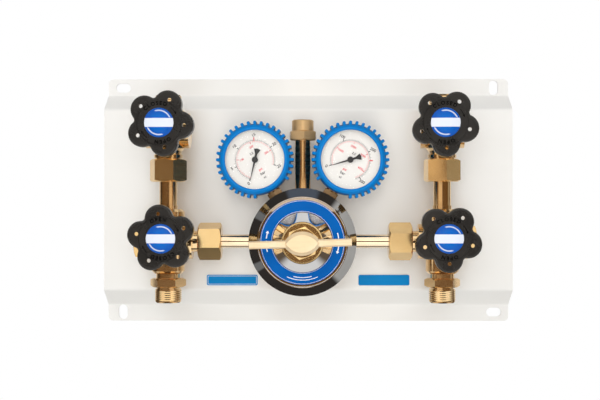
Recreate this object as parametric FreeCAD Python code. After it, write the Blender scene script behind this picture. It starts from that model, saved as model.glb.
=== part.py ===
# Gas cylinder manifold on a folded wall panel: two columns of valves, a pressure regulator and two gauges.
# Millimetres. +X right, +Z up, the wall is the plane y = 0 and everything stands out of it towards -Y.
import FreeCAD, Part
import math
import os

from FreeCAD import Rotation, Vector

# Clearances
running = 0.06
thread_play = 0.15
free = 0.3

# Wall panel, a hat section folded from sheet
panel_width = 410.0
panel_height = 248.0
panel_depth = 30.0
sheet = 2.0
face_height = 181.6
web_angle = 60.0
inner_bend = 2.0
panel_corner = 5.0
slot_pitch_x = panel_width - 30.0
slot_pitch_z = panel_height - 18.0
slot_length = 15.0
slot_width = 9.0

# Where things stand on the panel
column_out = 36.0
left_column_x = 69.0 - panel_width / 2
right_column_x = panel_width / 2 - 74.6
regulator_x = -5.0
branch_z = -40.8
upper_cross_z = 66.7
upper_turns = {"left": -1.6, "right": -2.9}
plate_x = 76.0
plate_z = -80.6

# Valve body, measured from the middle of its cross bar
body_radius = 16.0
cross_radius = 17.0
spindle_rise = 3.9
lower_half = 31.2
upper_top = 21.3
upper_bottom = 19.7
inner_reach = 23.9
plain_reach = 21.0
foot_radius = 15.0
front_boss_radius = 15.0
gas_bore = 4.5
outlet_bore = 4.0
drilling = 2.5
seat_hole = 2.5

# What stands in the valve's chamber, one behind the other, measured forward from the column's axis
chamber_radius = 9.0
chamber_start = 6.0
plug_radius = chamber_radius - free
plug_start = chamber_start + free
plug_length = 7.7
plug_floor = 2.5
plug_lift = 3.0
tang_side = 5.0
tang_start = plug_start + plug_floor + plug_lift + free
thrust_radius = chamber_radius - 0.4
thrust_start = plug_start + plug_length + plug_lift + 0.5
thrust_end = thrust_start + 3.1
chamber_end = thrust_end + 0.4
drilling_offset = chamber_radius + 1.5
gland_thread = chamber_radius + 1.0
front_boss_reach = chamber_end + 7.0
gland_flats = 27.0
gland_hex_end = front_boss_reach + 9.0
spindle_radius = 4.0

# Handwheel and badge, in front of the gland
wheel_back = gland_hex_end + 3.0
lobe_back = wheel_back + 6.0
lobe_front = lobe_back + 12.0
wheel_face = lobe_front + 2.0
spindle_end = wheel_face - 5.0
wheel_hub_radius = 10.0
wheel_face_radius = 20.9
wheel_wall = 2.6
wheel_floor = 3.0
wheel_rib = 2.0
lobe_count = 5
lobe_radius = 12.9
lobe_offset = 18.9
valley_radius = 3.2
lobe_hole = 1.85
lobe_hole_offset = 23.2
lobe_round = 1.9
lobe_chamfer = 1.0
badge_radius = 13.6
badge_recess = 1.2
badge_dome = 1.6
lobe_turns = {"upper_left": 66.2, "lower_left": 25.0, "upper_right": 56.4, "lower_right": 55.8}

# Threaded ends
end_thread = 12.5
thread_relief = 11.3
end_thread_length = 13.6
relief_length = 1.6
branch_thread = 10.2
branch_neck = 5.6
branch_thread_length = 10.0
collar_radius = 13.9
collar_length = 6.7
union_thread_length = 14.0

# Union nuts
nut_flats = 32.0
riser_nut_length = 22.0
branch_nut_length = 22.8
riser_nut_turns = {"left": 51.5, "right": 38.0}
branch_nut_turns = {"left": -12.0, "right": -4.0}
collar_gap = 1.2
corner_front = 30.0

# Pipes
riser_radius = 8.5
riser_bore = 4.5
riser_socket = 8.0
ring_radius = 9.2
ring_length = 3.6
nipple_radius = 11.0
nipple_length = 4.0
branch_radius = 6.7
branch_bore = 4.0
branch_nipple_radius = 8.6

# Inlet connector and side plug
inlet_flats = 30.0
inlet_collar = 11.75
inlet_collar_length = 4.4
inlet_hex_length = 8.8
shank_radius = 9.5
shank_length = 11.0
inlet_cone = 7.5
plug_flats = 30.0
plug_head = 8.1
plug_shank = 10.0

# Regulator body, its stations measured out from the wall
body_back_radius = 22.0
body_drum_radius = 32.0
body_flange_radius = 45.0
drum_start = panel_depth + 16.0
flange_start = drum_start + 34.0
flange_end = flange_start + 12.0
side_boss_radius = 12.0
side_boss_reach = 40.0
top_boss_reach = 38.0
gauge_boss_radius = 9.0
gauge_boss_reach = body_flange_radius - 3.0
gauge_out = flange_start - 8.0
port_depth = 14.0
low_chamber_radius = body_flange_radius - 11.0
low_chamber_depth = 4.0
diaphragm_radius = body_flange_radius - 0.4
diaphragm_thickness = 1.6

# Nozzle and poppet
nozzle_radius = 7.0
nozzle_back = flange_end - low_chamber_depth - 14.0
nozzle_hole = 2.5
poppet_radius = 4.5
poppet_length = 6.0
poppet_pin = 1.5
poppet_cavity = 6.5
poppet_cavity_start = nozzle_back - 22.0
poppet_wire = 1.0
poppet_spring_radius = 3.2
poppet_spring_turns = 5.0

# Bonnet: a bevelled skirt, a sunk ring for the label and a turret with a step, a cone and a neck
bonnet_radius = body_flange_radius + thread_play + 6.15
bonnet_start = flange_end - 8.0
bonnet_face = flange_end + 10.0
bonnet_rim = bonnet_face + 1.0
bonnet_rim_radius = bonnet_radius - 8.3
bevel_depth = 7.0
groove_radius = bonnet_rim_radius - 1.3
label_outer = groove_radius - 1.7
label_inner = label_outer - 11.4
label_thickness = 0.5
turret_base = label_inner - 0.4
turret_step = 7.0
turret_cone = 11.6
turret_neck = 3.4
turret_top = 19.7
turret_end = bonnet_face + turret_step + turret_cone + turret_neck
turret_cavity = 16.5
bonnet_wall = 3.0
bonnet_cavity = body_flange_radius - 9.0

# Bush, adjusting screw and T-handle
bush_shank = 10.0
bush_flange_radius = 19.2
bush_flange = 3.0
bush_flats = 27.0
bush_hex = 8.0
bush_depth = 5.0
bush_turn = 20.0
screw_radius = 5.0
screw_travel = 4.5
handle_back = turret_end + bush_flange + bush_hex + screw_travel + 1.5
handle_depth = 14.0
handle_half_width = 17.3
handle_half_height = 10.9
bar_length = 92.8
bar_height = 6.8
bar_depth = 9.0
bar_shift = -1.5
bar_tilt = 1.75

# Diaphragm plate, range spring and its button
plate_radius = bonnet_cavity - 6.0
plate_thickness = 3.0
spring_wire = 2.8
spring_radius = 12.0
spring_turns = 3.5
button_radius = 15.0
button_thickness = 4.0

# Outlet
outlet_radius = 7.4
outlet_bore_radius = 4.0
outlet_top_z = 57.4
outlet_flats = 24.0
outlet_hex = 9.1
outlet_round = 10.7
outlet_round_radius = 10.5
outlet_thread = 7.5
outlet_thread_depth = 11.0
outlet_turn = 36.0

# Gauges across their faces, and where they stand
case_radius = 31.5
case_wall = 1.5
dial_radius = case_radius - case_wall - 0.4
window_radius = case_radius - 0.5
boot_radius = case_radius + 2.9
boot_opening = case_radius - 3.1
boot_back_opening = 24.0
tooth_tip = boot_radius + 2.95
tooth_pitch = 10.0
tooth_width = 5.0
tooth_count = 31
gauge_distance = bonnet_radius + tooth_tip + 2.55
gauge_angle = 30.2

# Gauges from back to front
stem_radius = 6.0
stem_thread = 5.0
stem_flats = 14.0
stem_hex_start = gauge_boss_reach + 4.0
stem_hex_end = stem_hex_start + 10.0
stem_block = 6.0
tube_radius = 20.0
tube_half_width = 1.6
tube_half_depth = 4.0
tube_end_angle = 60.0
case_start = gauge_out - 12.0
boot_start = case_start - 3.0
dial_out = gauge_out + tube_half_depth + 2.0
dial_thickness = 0.8
pointer_out = dial_out + dial_thickness + 2.2
pointer_thickness = 0.8
pointer_length = 22.4
pointer_tail = 10.2
pointer_tail_half = 3.2
pointer_hub = 3.0
arbor_radius = 1.0
needle_rest = {"left": 257.2, "right": 196.3}
window_out = pointer_out + pointer_thickness + 3.4
window_thickness = 2.0
case_end = window_out - 0.2
boot_end = window_out + window_thickness + 0.8
boot_shoulder = 5.0
tooth_end = boot_end - 2.5

# Fixing screws and label plates
screw_shank = 3.0
screw_hole = screw_shank + free
screw_depth = 12.0
screw_head_radius = 5.0
screw_head = 6.0
screw_socket = 5.0
washer_radius = 6.0
washer_thickness = 1.6
foot_screw_pitch = 16.0
regulator_screw_pitch = 28.0
label_length = 51.0
label_height = 10.5
label_plate_thickness = 0.8
label_corner = 1.5

column_y = -(panel_depth + column_out)
outward = Vector(0, -1, 0)
up = Vector(0, 0, 1)
right = Vector(1, 0, 0)
regulator = Vector(regulator_x, 0, branch_z)
columns = {"left": left_column_x, "right": right_column_x}


# Basic forms

def aimed(shape, base, direction):
    """Moves a form that was drawn along Z from the origin to its place."""
    shape.Placement = FreeCAD.Placement(base, Rotation(up, direction))
    return shape


def rod(radius, base, direction, start, end):
    """A round bar along a direction, between two distances from the base."""
    return Part.makeCylinder(radius, end - start, base + direction * start, direction)


def turned(profile, base, direction):
    """A lathe-turned solid: the profile lists (distance along the axis, radius)."""
    points = [Vector(radius, 0, along) for along, radius in profile]
    points.append(points[0])
    face = Part.Face(Part.makePolygon(points))
    return aimed(face.revolve(Vector(0, 0, 0), up, 360), base, direction)


def hexagon(flats, base, direction, start, end, turn=0.0):
    """A hexagonal bar along a direction, flat to flat as given."""
    corner = flats / math.sqrt(3)
    points = []
    for i in range(7):
        angle = math.radians(60 * i + turn)
        points.append(Vector(corner * math.cos(angle), corner * math.sin(angle), start))
    prism = Part.Face(Part.makePolygon(points)).extrude(Vector(0, 0, end - start))
    return aimed(prism, base, direction)


def chamfered_hexagon(flats, base, direction, start, end, turn=0.0, both=True):
    """A hexagon with its corners turned off at 30 degrees, as on a nut."""
    corner = flats / math.sqrt(3)
    edge = flats / 2 * 0.97
    drop = (corner - edge) * math.tan(math.radians(30)) + 0.01
    near = edge if both else corner + 0.01
    first = start + drop if both else start
    profile = [(start, 0), (start, near), (first, corner + 0.01)]
    profile += [(end - drop, corner + 0.01), (end, edge), (end, 0)]
    if not both:
        profile.pop(1)
    return hexagon(flats, base, direction, start, end, turn).common(turned(profile, base, direction))


def fuse_all(shapes):
    """One clean solid from several that meet."""
    return shapes[0].multiFuse(shapes[1:]).removeSplitter()


def polar(radius, angle, z=0.0):
    """A point at an angle in degrees about Z."""
    return Vector(radius * math.cos(math.radians(angle)), radius * math.sin(math.radians(angle)), z)


def coil(radius, wire, turns, base, direction, start, end):
    """A spring of square wire, standing on the base along the direction."""
    height = end - start - wire
    helix = Part.makeHelix(height / turns, height, radius)
    half = wire / 2
    section = Part.makePolygon([
        Vector(radius - half, 0, -half),
        Vector(radius + half, 0, -half),
        Vector(radius + half, 0, half),
        Vector(radius - half, 0, half),
        Vector(radius - half, 0, -half),
    ])
    wire_path = Part.Wire(helix)
    body = wire_path.makePipeShell([section], True, True)
    return aimed(body, base + direction * (start + half), direction)


# The panel and what is fixed flat to it

def folded_sheet():
    """The hat section, bent from one sheet and drawn as its end view."""
    half = panel_height / 2
    face_half = face_height / 2
    rise = panel_depth - sheet
    run = rise / math.tan(math.radians(web_angle))
    shift = sheet * math.tan(math.radians(web_angle / 2))
    front = [(sheet, half), (sheet, face_half + run), (panel_depth, face_half)]
    back = [(panel_depth - sheet, face_half - shift), (0, face_half + run - shift), (0, half)]
    outline = front + [(out, -z) for out, z in reversed(front)]
    outline += [(out, -z) for out, z in reversed(back)] + back
    points = [Vector(-panel_width / 2, -out, z) for out, z in outline]
    points.append(points[0])
    solid = Part.Face(Part.makePolygon(points)).extrude(Vector(panel_width, 0, 0))
    hollow = []
    full = []
    for edge in solid.Edges:
        if len(edge.Vertexes) < 2 or abs(edge.tangentAt(edge.FirstParameter).x) < 0.99:
            continue
        out = -edge.Vertexes[0].Y
        z = abs(edge.Vertexes[0].Z)
        if abs(z - half) < 0.01:
            continue
        outer_side = min(abs(out - panel_depth), abs(out - 0.0)) < 0.01
        (full if outer_side else hollow).append(edge)
    solid = solid.makeFillet(inner_bend, hollow)
    full = [e for e in solid.Edges if any(same_line(e, f) for f in full)]
    return solid.makeFillet(inner_bend + sheet, full)


def same_line(one, other):
    """True for two straight edges along X that lie on the same line."""
    if one.Length < panel_width * 0.9 or not isinstance(one.Curve, Part.Line):
        return False
    a = one.Vertexes[0]
    b = other.Vertexes[0]
    return abs(a.Y - b.Y) < 0.01 and abs(a.Z - b.Z) < 0.01


def slot(x, z, upright):
    """A cutter for one wall slot, lying or upright."""
    half = (slot_length - slot_width) / 2
    step = Vector(0, 0, half) if upright else Vector(half, 0, 0)
    centre = Vector(x, panel_depth / 2, z)
    ends = [rod(slot_width / 2, centre + step * sign, outward, 0, panel_depth) for sign in (-1, 1)]
    size_x = slot_width if upright else 2 * half
    size_z = 2 * half if upright else slot_width
    corner = centre + Vector(-size_x / 2, -panel_depth, -size_z / 2)
    middle = Part.makeBox(size_x, panel_depth, size_z, corner)
    return ends[0].fuse([ends[1], middle])


def rounded_plate(width, height, thickness, corner, out):
    """A flat plate with round corners, its back at a distance from the wall."""
    box = Part.makeBox(width, thickness, height, Vector(-width / 2, -out - thickness, -height / 2))
    edges = [e for e in box.Edges if abs(e.tangentAt(e.FirstParameter).y) > 0.99]
    return box.makeFillet(corner, edges)


def fixing_points():
    """Where the screws come through the panel from behind."""
    points = []
    for x in columns.values():
        for sign in (-1, 1):
            points.append(Vector(x, 0, branch_z + sign * foot_screw_pitch / 2))
    for sign in (-1, 1):
        points.append(regulator + right * (sign * regulator_screw_pitch / 2))
    return points


def mounting_panel():
    outline = rounded_plate(panel_width, panel_height, panel_depth + 2, panel_corner, -1)
    solid = folded_sheet().common(outline)
    for sign_x in (-1, 1):
        for sign_z in (-1, 1):
            upright = sign_x == sign_z
            solid = solid.cut(slot(sign_x * slot_pitch_x / 2, sign_z * slot_pitch_z / 2, upright))
    for point in fixing_points():
        solid = solid.cut(rod(screw_hole, point, outward, panel_depth / 2, panel_depth + 5))
    return solid


def panel_screws():
    inside = panel_depth - sheet - washer_thickness
    screws = []
    for point in fixing_points():
        head = rod(screw_head_radius, point, outward, inside - screw_head, inside)
        socket = hexagon(screw_socket, point, outward, inside - screw_head, inside - screw_head / 2)
        shank = rod(screw_shank, point, outward, inside, panel_depth + screw_depth)
        screws.append(head.fuse(shank).cut(socket))
    return Part.makeCompound(screws)


def panel_washers():
    inside = panel_depth - sheet
    washers = []
    for point in fixing_points():
        ring = rod(washer_radius, point, outward, inside - washer_thickness, inside)
        washers.append(ring.cut(rod(screw_hole, point, outward, inside - washer_thickness, inside)))
    return Part.makeCompound(washers)


def label_plates():
    plates = []
    for sign in (-1, 1):
        plate = rounded_plate(label_length, label_height, label_plate_thickness, label_corner, panel_depth)
        plate.translate(Vector(sign * plate_x, 0, plate_z))
        plates.append(plate)
    return Part.makeCompound(plates)


# Valves, drawn about the middle of the cross bar and then moved to their column

def threaded_end(direction, start):
    """A male end with a relief groove behind its thread."""
    relief_end = start + relief_length
    end = relief_end + end_thread_length - relief_length
    lead = end_thread - thread_relief
    profile = [(start - 1, 0), (start - 1, thread_relief), (relief_end, thread_relief)]
    profile += [(relief_end, end_thread), (end - lead, end_thread), (end, thread_relief), (end, 0)]
    return turned(profile, Vector(0, 0, 0), direction)


def spindle_point():
    return Vector(0, 0, spindle_rise)


def valve_cavities(outlets):
    """Gas ways: an inlet from below, the seat, the plug's chamber and a drilling to each outlet."""
    centre = spindle_point()
    cuts = [
        rod(seat_hole, centre, outward, 0, chamber_start + 1),
        rod(chamber_radius, centre, outward, chamber_start, chamber_end),
        rod(gland_thread, centre, outward, chamber_end, front_boss_reach + 1),
    ]
    for direction in outlets:
        sideways = centre + direction * drilling_offset
        cuts.append(rod(drilling, sideways, outward, 0, chamber_start + drilling))
    return cuts


def rounded_body(low, high):
    """The upright barrel, with its ends turned to a chamfer."""
    edge = 2.5
    profile = [(low, 0), (low, body_radius - edge), (low + edge, body_radius)]
    profile += [(high - edge, body_radius), (high, body_radius - edge), (high, 0)]
    return turned(profile, Vector(0, 0, 0), up)


def front_boss():
    return rod(front_boss_radius, spindle_point(), outward, 0, front_boss_reach)


def lower_valve_body(toward):
    """The valve at the foot of a column: toward is +1 or -1, the side where the branch leaves."""
    inward = right * toward
    outer = right * -toward
    neck_end = inner_reach + branch_neck + branch_thread_length
    solids = [
        rounded_body(-lower_half, lower_half),
        rod(cross_radius, Vector(0, 0, 0), inward, 0, inner_reach),
        rod(cross_radius, Vector(0, 0, 0), outer, 0, inner_reach),
        rod(branch_thread, Vector(0, 0, 0), inward, inner_reach - 1, neck_end),
        rod(foot_radius, Vector(0, 0, 0), outward, -column_out, 0),
        front_boss(),
    ]
    body = fuse_all(solids)
    origin = Vector(0, 0, 0)
    cuts = valve_cavities([inward, up])
    cuts += [
        rod(gas_bore, origin, up, -lower_half + shank_length, spindle_rise + gas_bore),
        rod(shank_radius + thread_play, origin, up, -lower_half - 1, -lower_half + shank_length + 0.4),
        rod(riser_radius + thread_play, origin, up, lower_half - riser_socket, lower_half + 1),
        rod(outlet_bore, origin, up, spindle_rise + drilling_offset - drilling, lower_half),
        rod(outlet_bore, origin, inward, drilling_offset - drilling, neck_end + 1),
        rod(plug_shank + thread_play, origin, outer, inner_reach - shank_length - 0.4, inner_reach + 1),
    ]
    for sign in (-1, 1):
        at = Vector(0, 0, sign * foot_screw_pitch / 2)
        cuts.append(rod(screw_shank + thread_play, at, outward, -column_out - 1, screw_depth + 1 - column_out))
    return body.cut(cuts)


def upper_valve_body():
    """The valve at the head of a column, with a threaded end above and below."""
    origin = Vector(0, 0, 0)
    down = up * -1
    collar_end = upper_bottom + collar_length
    collar = [(upper_bottom - 2, 0), (upper_bottom - 2, body_radius - 2), (collar_end - 4, collar_radius - 1.5)]
    collar += [(collar_end - 3, collar_radius), (collar_end, collar_radius), (collar_end, 0)]
    solids = [
        rounded_body(-upper_bottom, upper_top),
        rod(cross_radius, origin, right, -plain_reach, plain_reach),
        turned(collar, origin, down),
        rod(end_thread, origin, down, collar_end - 1, collar_end + union_thread_length),
        threaded_end(up, upper_top),
        front_boss(),
    ]
    cuts = valve_cavities([up])
    cuts += [
        rod(gas_bore, origin, up, -(collar_end + union_thread_length + 1), spindle_rise + gas_bore),
        rod(outlet_bore, origin, up, spindle_rise + drilling_offset - drilling, upper_top + 20),
    ]
    return fuse_all(solids).cut(cuts)


def gland_nut():
    """Screws into the front boss and carries the spindle."""
    centre = spindle_point()
    shank = rod(gland_thread - thread_play, centre, outward, chamber_end, front_boss_reach)
    head = chamfered_hexagon(gland_flats, centre, outward, front_boss_reach, gland_hex_end, 90, both=False)
    return shank.fuse(head).cut(rod(spindle_radius + running, centre, outward, 0, wheel_back))


def spindle():
    """Turns with the handwheel: a square tang drives the plug, a collar takes its thrust."""
    centre = spindle_point()
    half = tang_side / 2
    tang = Part.makeBox(tang_side, thrust_start - tang_start, tang_side)
    tang.translate(centre + Vector(-half, -thrust_start, -half))
    collar = rod(thrust_radius, centre, outward, thrust_start, thrust_end)
    stem = rod(spindle_radius, centre, outward, thrust_start, spindle_end)
    return fuse_all([tang, collar, stem])


def valve_plug():
    """Rides on the tang and closes on the seat."""
    centre = spindle_point()
    end = plug_start + plug_length
    side = tang_side + 2 * free
    body = turned(
        [(plug_start, 0), (plug_start, seat_hole + 2), (plug_start + 2.2, plug_radius), (end, plug_radius), (end, 0)],
        centre,
        outward,
    )
    bottom = plug_start + plug_floor
    socket = Part.makeBox(side, end - bottom + 1, side)
    socket.translate(centre + Vector(-side / 2, -end - 1, -side / 2))
    return body.cut(socket)


def lobed_face(turn, inset=0.0):
    """The handwheel's outline: round lobes joined by hollow valleys."""
    lobe = lobe_radius - inset
    valley = valley_radius + inset
    half = math.pi / lobe_count
    reach = lobe + valley
    far = lobe_offset * math.cos(half) + math.sqrt(reach**2 - (lobe_offset * math.sin(half)) ** 2)
    edges = []
    for i in range(lobe_count):
        middle = math.radians(turn + 360 / lobe_count * i)
        centre = Vector(lobe_offset * math.cos(middle), lobe_offset * math.sin(middle), 0)
        hollows = []
        for sign in (-1, 1):
            angle = middle + sign * half
            hollows.append(Vector(far * math.cos(angle), far * math.sin(angle), 0))
        before, after = [centre + (h - centre) * (lobe / reach) for h in hollows]
        tip = centre + Vector(math.cos(middle), math.sin(middle), 0) * lobe
        edges.append(Part.Arc(before, tip, after).toShape())
        following = middle + 2 * half
        next_centre = Vector(lobe_offset * math.cos(following), lobe_offset * math.sin(following), 0)
        meet = next_centre + (hollows[1] - next_centre) * (lobe / reach)
        inmost = hollows[1] * ((far - valley) / far)
        edges.append(Part.Arc(after, inmost, meet).toShape())
    return Part.Wire(edges)


def lobed_slab(turn, start, end, start_inset, end_inset):
    """A slab with the lobed outline, tapering by an inset from one end to the other."""
    wires = []
    for along, inset in ((start, start_inset), (end, end_inset)):
        wire = lobed_face(turn, inset)
        wire.translate(Vector(0, 0, along))
        wires.append(wire)
    return Part.makeLoft(wires, True, True)


def lobed_disc(turn):
    """The wheel's disc, its front edge rounded and its back edge lightly chamfered."""
    half_way = 0.29 * lobe_round
    stations = [
        (lobe_back, lobe_chamfer),
        (lobe_back + lobe_chamfer, 0),
        (lobe_front - lobe_round, 0),
        (lobe_front - half_way, half_way),
        (lobe_front, lobe_round),
    ]
    return fuse_all([lobed_slab(turn, a[0], b[0], a[1], b[1]) for a, b in zip(stations, stations[1:])])


def wheel_hollow(turn):
    """The moulded hollow behind the disc, cleared round the hub and the ribs that hold it."""
    floor = lobe_front - wheel_floor
    hollow = lobed_slab(turn, lobe_back - 1, floor, wheel_wall, wheel_wall)
    keep = [Part.makeCylinder(wheel_hub_radius, floor - wheel_back, Vector(0, 0, wheel_back))]
    for i in range(lobe_count):
        rib = Part.makeBox(lobe_offset + lobe_radius, wheel_rib, floor - lobe_back, Vector(0, -wheel_rib / 2, lobe_back))
        rib.rotate(Vector(0, 0, 0), up, turn + 360 / lobe_count * (i + 0.5))
        keep.append(rib)
    return hollow.cut(keep)


def handwheel(turn):
    """A moulded wheel with five lobes, a hole through each, and a recess for the badge."""
    face = [
        (lobe_front - 1, 0),
        (lobe_front - 1, wheel_face_radius),
        (wheel_face - 0.8, wheel_face_radius),
        (wheel_face, wheel_face_radius - 0.8),
        (wheel_face, 0),
    ]
    hub = Part.makeCylinder(wheel_hub_radius, lobe_back - wheel_back + 1, Vector(0, 0, wheel_back))
    wheel = fuse_all([lobed_disc(turn), turned(face, Vector(0, 0, 0), up), hub])
    cuts = [
        wheel_hollow(turn),
        Part.makeCylinder(badge_radius + thread_play, 5, Vector(0, 0, wheel_face - badge_recess)),
        Part.makeCylinder(spindle_radius + running, spindle_end - wheel_back, Vector(0, 0, wheel_back)),
    ]
    for i in range(lobe_count):
        at = polar(lobe_hole_offset, turn + 360 / lobe_count * i, lobe_back - 1)
        cuts.append(Part.makeCylinder(lobe_hole, lobe_front - lobe_back + 2, at))
    return forward(wheel.cut(cuts), spindle_point())


def forward(shape, centre):
    """Turns a form drawn face up, as seen from the front, to face the viewer."""
    shape.Placement = FreeCAD.Placement(centre, Rotation(right, 90)).multiply(shape.Placement)
    return shape


def badge():
    """A domed disc pressed into the wheel's recess."""
    floor = wheel_face - badge_recess
    top = wheel_face + badge_dome
    profile = [(floor, 0), (floor, badge_radius), (wheel_face + 0.3, badge_radius)]
    profile += [(wheel_face + 1.0, badge_radius - 2.5), (top, badge_radius - 7.0), (top, 0)]
    return turned(profile, spindle_point(), outward)


def at_column(shape, x, z, turn=0.0):
    """Stands a valve's piece on its column, turned about it."""
    place = FreeCAD.Placement(Vector(x, column_y, z), Rotation(up, turn))
    shape.Placement = place.multiply(shape.Placement)
    return shape


def valves():
    """Every piece of the four valves, by node name, and the gland nuts as one group."""
    parts = {}
    glands = []
    for side, x in columns.items():
        toward = 1 if side == "left" else -1
        for level, z in (("upper", upper_cross_z), ("lower", branch_z)):
            name = f"{level}_{side}"
            turn = upper_turns[side] if level == "upper" else 0.0
            body = upper_valve_body() if level == "upper" else lower_valve_body(toward)
            pieces = {
                "valve_body": body,
                "spindle": spindle(),
                "valve_plug": valve_plug(),
                "handwheel": handwheel(lobe_turns[name]),
                "badge": badge(),
            }
            for piece, shape in pieces.items():
                parts[f"{name}_{piece}"] = at_column(shape, x, z, turn)
            glands.append(at_column(gland_nut(), x, z, turn))
    parts["gland_nuts"] = Part.makeCompound(glands)
    return parts


# Inlets, pipes and unions

def inlet_connector(side):
    base = Vector(columns[side], column_y, branch_z - lower_half)
    down = up * -1
    hex_end = inlet_collar_length + inlet_hex_length
    relief_end = hex_end + relief_length
    end = hex_end + relief_length + end_thread_length
    lead = end_thread - thread_relief
    turned_part = turned(
        [
            (-shank_length, 0),
            (-shank_length, shank_radius),
            (0, shank_radius),
            (0, inlet_collar),
            (inlet_collar_length, inlet_collar),
            (hex_end, thread_relief),
            (relief_end, thread_relief),
            (relief_end, end_thread),
            (end - lead, end_thread),
            (end, thread_relief),
            (end, 0),
        ],
        base,
        down,
    )
    hexa = chamfered_hexagon(inlet_flats, base, down, inlet_collar_length, hex_end)
    mouth = turned([(end - 5, 0), (end - 5, gas_bore), (end + 1, inlet_cone), (end + 1, 0)], base, down)
    way = rod(gas_bore, base, down, -shank_length - 1, end + 1)
    return fuse_all([turned_part, hexa]).cut([way, mouth])


def riser_top():
    """Height of the riser's nipple face, where the upper valve's end stands on it."""
    return upper_cross_z - upper_bottom - collar_length - union_thread_length


def riser_pipe(side):
    foot = branch_z + lower_half
    base = Vector(columns[side], column_y, 0)
    top = riser_top()
    solids = [
        rod(riser_radius, base, up, foot - riser_socket, top),
        rod(ring_radius, base, up, foot, foot + ring_length),
        rod(nipple_radius, base, up, top - nipple_length, top),
    ]
    return fuse_all(solids).cut(rod(riser_bore, base, up, foot - riser_socket - 1, top + 1))


def riser_nut(side):
    base = Vector(columns[side], column_y, 0)
    end = upper_cross_z - upper_bottom - collar_length - collar_gap
    start = end - riser_nut_length
    shoulder = riser_top() - nipple_length
    body = chamfered_hexagon(nut_flats, base, up, start, end, riser_nut_turns[side])
    return body.cut([
        rod(riser_radius + free, base, up, start - 1, shoulder + 1),
        rod(end_thread + thread_play, base, up, shoulder, end + 1),
    ])


def branch_line(side):
    """Where a branch starts at its valve, and its direction to the regulator."""
    base = Vector(columns[side], column_y, branch_z)
    direction = right if side == "left" else right * -1
    return base, direction


def branch_pipe(side):
    base, direction = branch_line(side)
    start = inner_reach + branch_neck + branch_thread_length
    end = abs(columns[side] - regulator_x) - side_boss_reach + port_depth
    solids = [
        rod(branch_radius, base, direction, start, end),
        rod(branch_nipple_radius, base, direction, start, start + nipple_length),
    ]
    return fuse_all(solids).cut(rod(branch_bore, base, direction, start - 1, end + 1))


def branch_nut(side):
    base, direction = branch_line(side)
    start = inner_reach + branch_neck
    end = start + branch_nut_length
    shoulder = start + branch_thread_length + nipple_length
    body = chamfered_hexagon(nut_flats, base, direction, start, end, branch_nut_turns[side])
    return body.cut([
        rod(branch_thread + thread_play, base, direction, start - 1, shoulder),
        rod(branch_radius + free, base, direction, shoulder - 1, end + 1),
    ])


def union_nuts():
    nuts = [riser_nut(side) for side in columns]
    nuts += [branch_nut(side) for side in columns]
    return Part.makeCompound(nuts)


def side_plugs():
    """Hexagon plugs that close the outer end of each lower valve's cross bar."""
    plugs = []
    for side in columns:
        base, direction = branch_line(side)
        outer = direction * -1
        head = chamfered_hexagon(plug_flats, base, outer, inner_reach, inner_reach + plug_head, corner_front)
        shank = rod(plug_shank, base, outer, inner_reach - shank_length, inner_reach)
        plugs.append(head.fuse(shank))
    return Part.makeCompound(plugs)


# Regulator

def gauge_direction(side):
    """From the regulator's axis towards a gauge, as seen from the front."""
    angle = math.radians(gauge_angle)
    sign = -1 if side == "left" else 1
    return Vector(sign * math.sin(angle), 0, math.cos(angle))


def regulator_body():
    axis = regulator
    side_line = axis + outward * -column_y
    gauge_line = axis + outward * gauge_out
    profile = [
        (panel_depth, 0),
        (panel_depth, body_back_radius),
        (drum_start, body_back_radius),
        (drum_start + 3, body_drum_radius),
        (flange_start - 3, body_drum_radius),
        (flange_start, body_flange_radius),
        (flange_end, body_flange_radius),
        (flange_end, low_chamber_radius),
        (flange_end - low_chamber_depth, low_chamber_radius),
        (flange_end - low_chamber_depth, 0),
    ]
    solids = [
        turned(profile, axis, outward),
        rod(side_boss_radius, side_line, right, -side_boss_reach, side_boss_reach),
        rod(side_boss_radius, side_line, up, 0, top_boss_reach),
    ]
    cuts = [
        rod(poppet_cavity, axis, outward, poppet_cavity_start, nozzle_back),
        rod(nozzle_radius + thread_play, axis, outward, nozzle_back, flange_end),
        rod(outlet_radius + thread_play, side_line, up, top_boss_reach - port_depth, top_boss_reach + 1),
        rod(outlet_bore_radius, side_line, up, top_boss_reach - port_depth - 6, top_boss_reach),
    ]
    rise = up * (top_boss_reach - port_depth - 3)
    cuts.append(rod(drilling, axis + rise, outward, -column_y, flange_end))
    for sign in (-1, 1):
        way = right * sign
        cuts.append(rod(branch_radius + thread_play, side_line, way, side_boss_reach - port_depth, side_boss_reach + 1))
        cuts.append(rod(branch_bore - 1, side_line, way, 0, side_boss_reach))
        at = axis + way * (regulator_screw_pitch / 2)
        cuts.append(rod(screw_shank + thread_play, at, outward, panel_depth - 1, panel_depth + screw_depth + 1))
    for side in columns:
        way = gauge_direction(side)
        solids.append(rod(gauge_boss_radius, gauge_line, way, 0, gauge_boss_reach))
        cuts.append(rod(stem_thread + thread_play, gauge_line, way, gauge_boss_reach - port_depth, gauge_boss_reach + 1))
    high = gauge_direction("right")
    cuts.append(rod(drilling / 2, gauge_line, high, 0, gauge_boss_reach))
    low = gauge_direction("left")
    deep = gauge_boss_reach - port_depth + 1
    cuts.append(rod(drilling / 2, axis + low * deep, outward, gauge_out, flange_end))
    return fuse_all(solids).cut(cuts)


def nozzle():
    """The seat insert that the poppet closes on."""
    front = flange_end - low_chamber_depth
    body = rod(nozzle_radius, regulator, outward, nozzle_back, front)
    return body.cut(rod(nozzle_hole, regulator, outward, nozzle_back - 1, front + 1))


def diaphragm():
    return rod(diaphragm_radius, regulator, outward, flange_end, flange_end + diaphragm_thickness)


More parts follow.
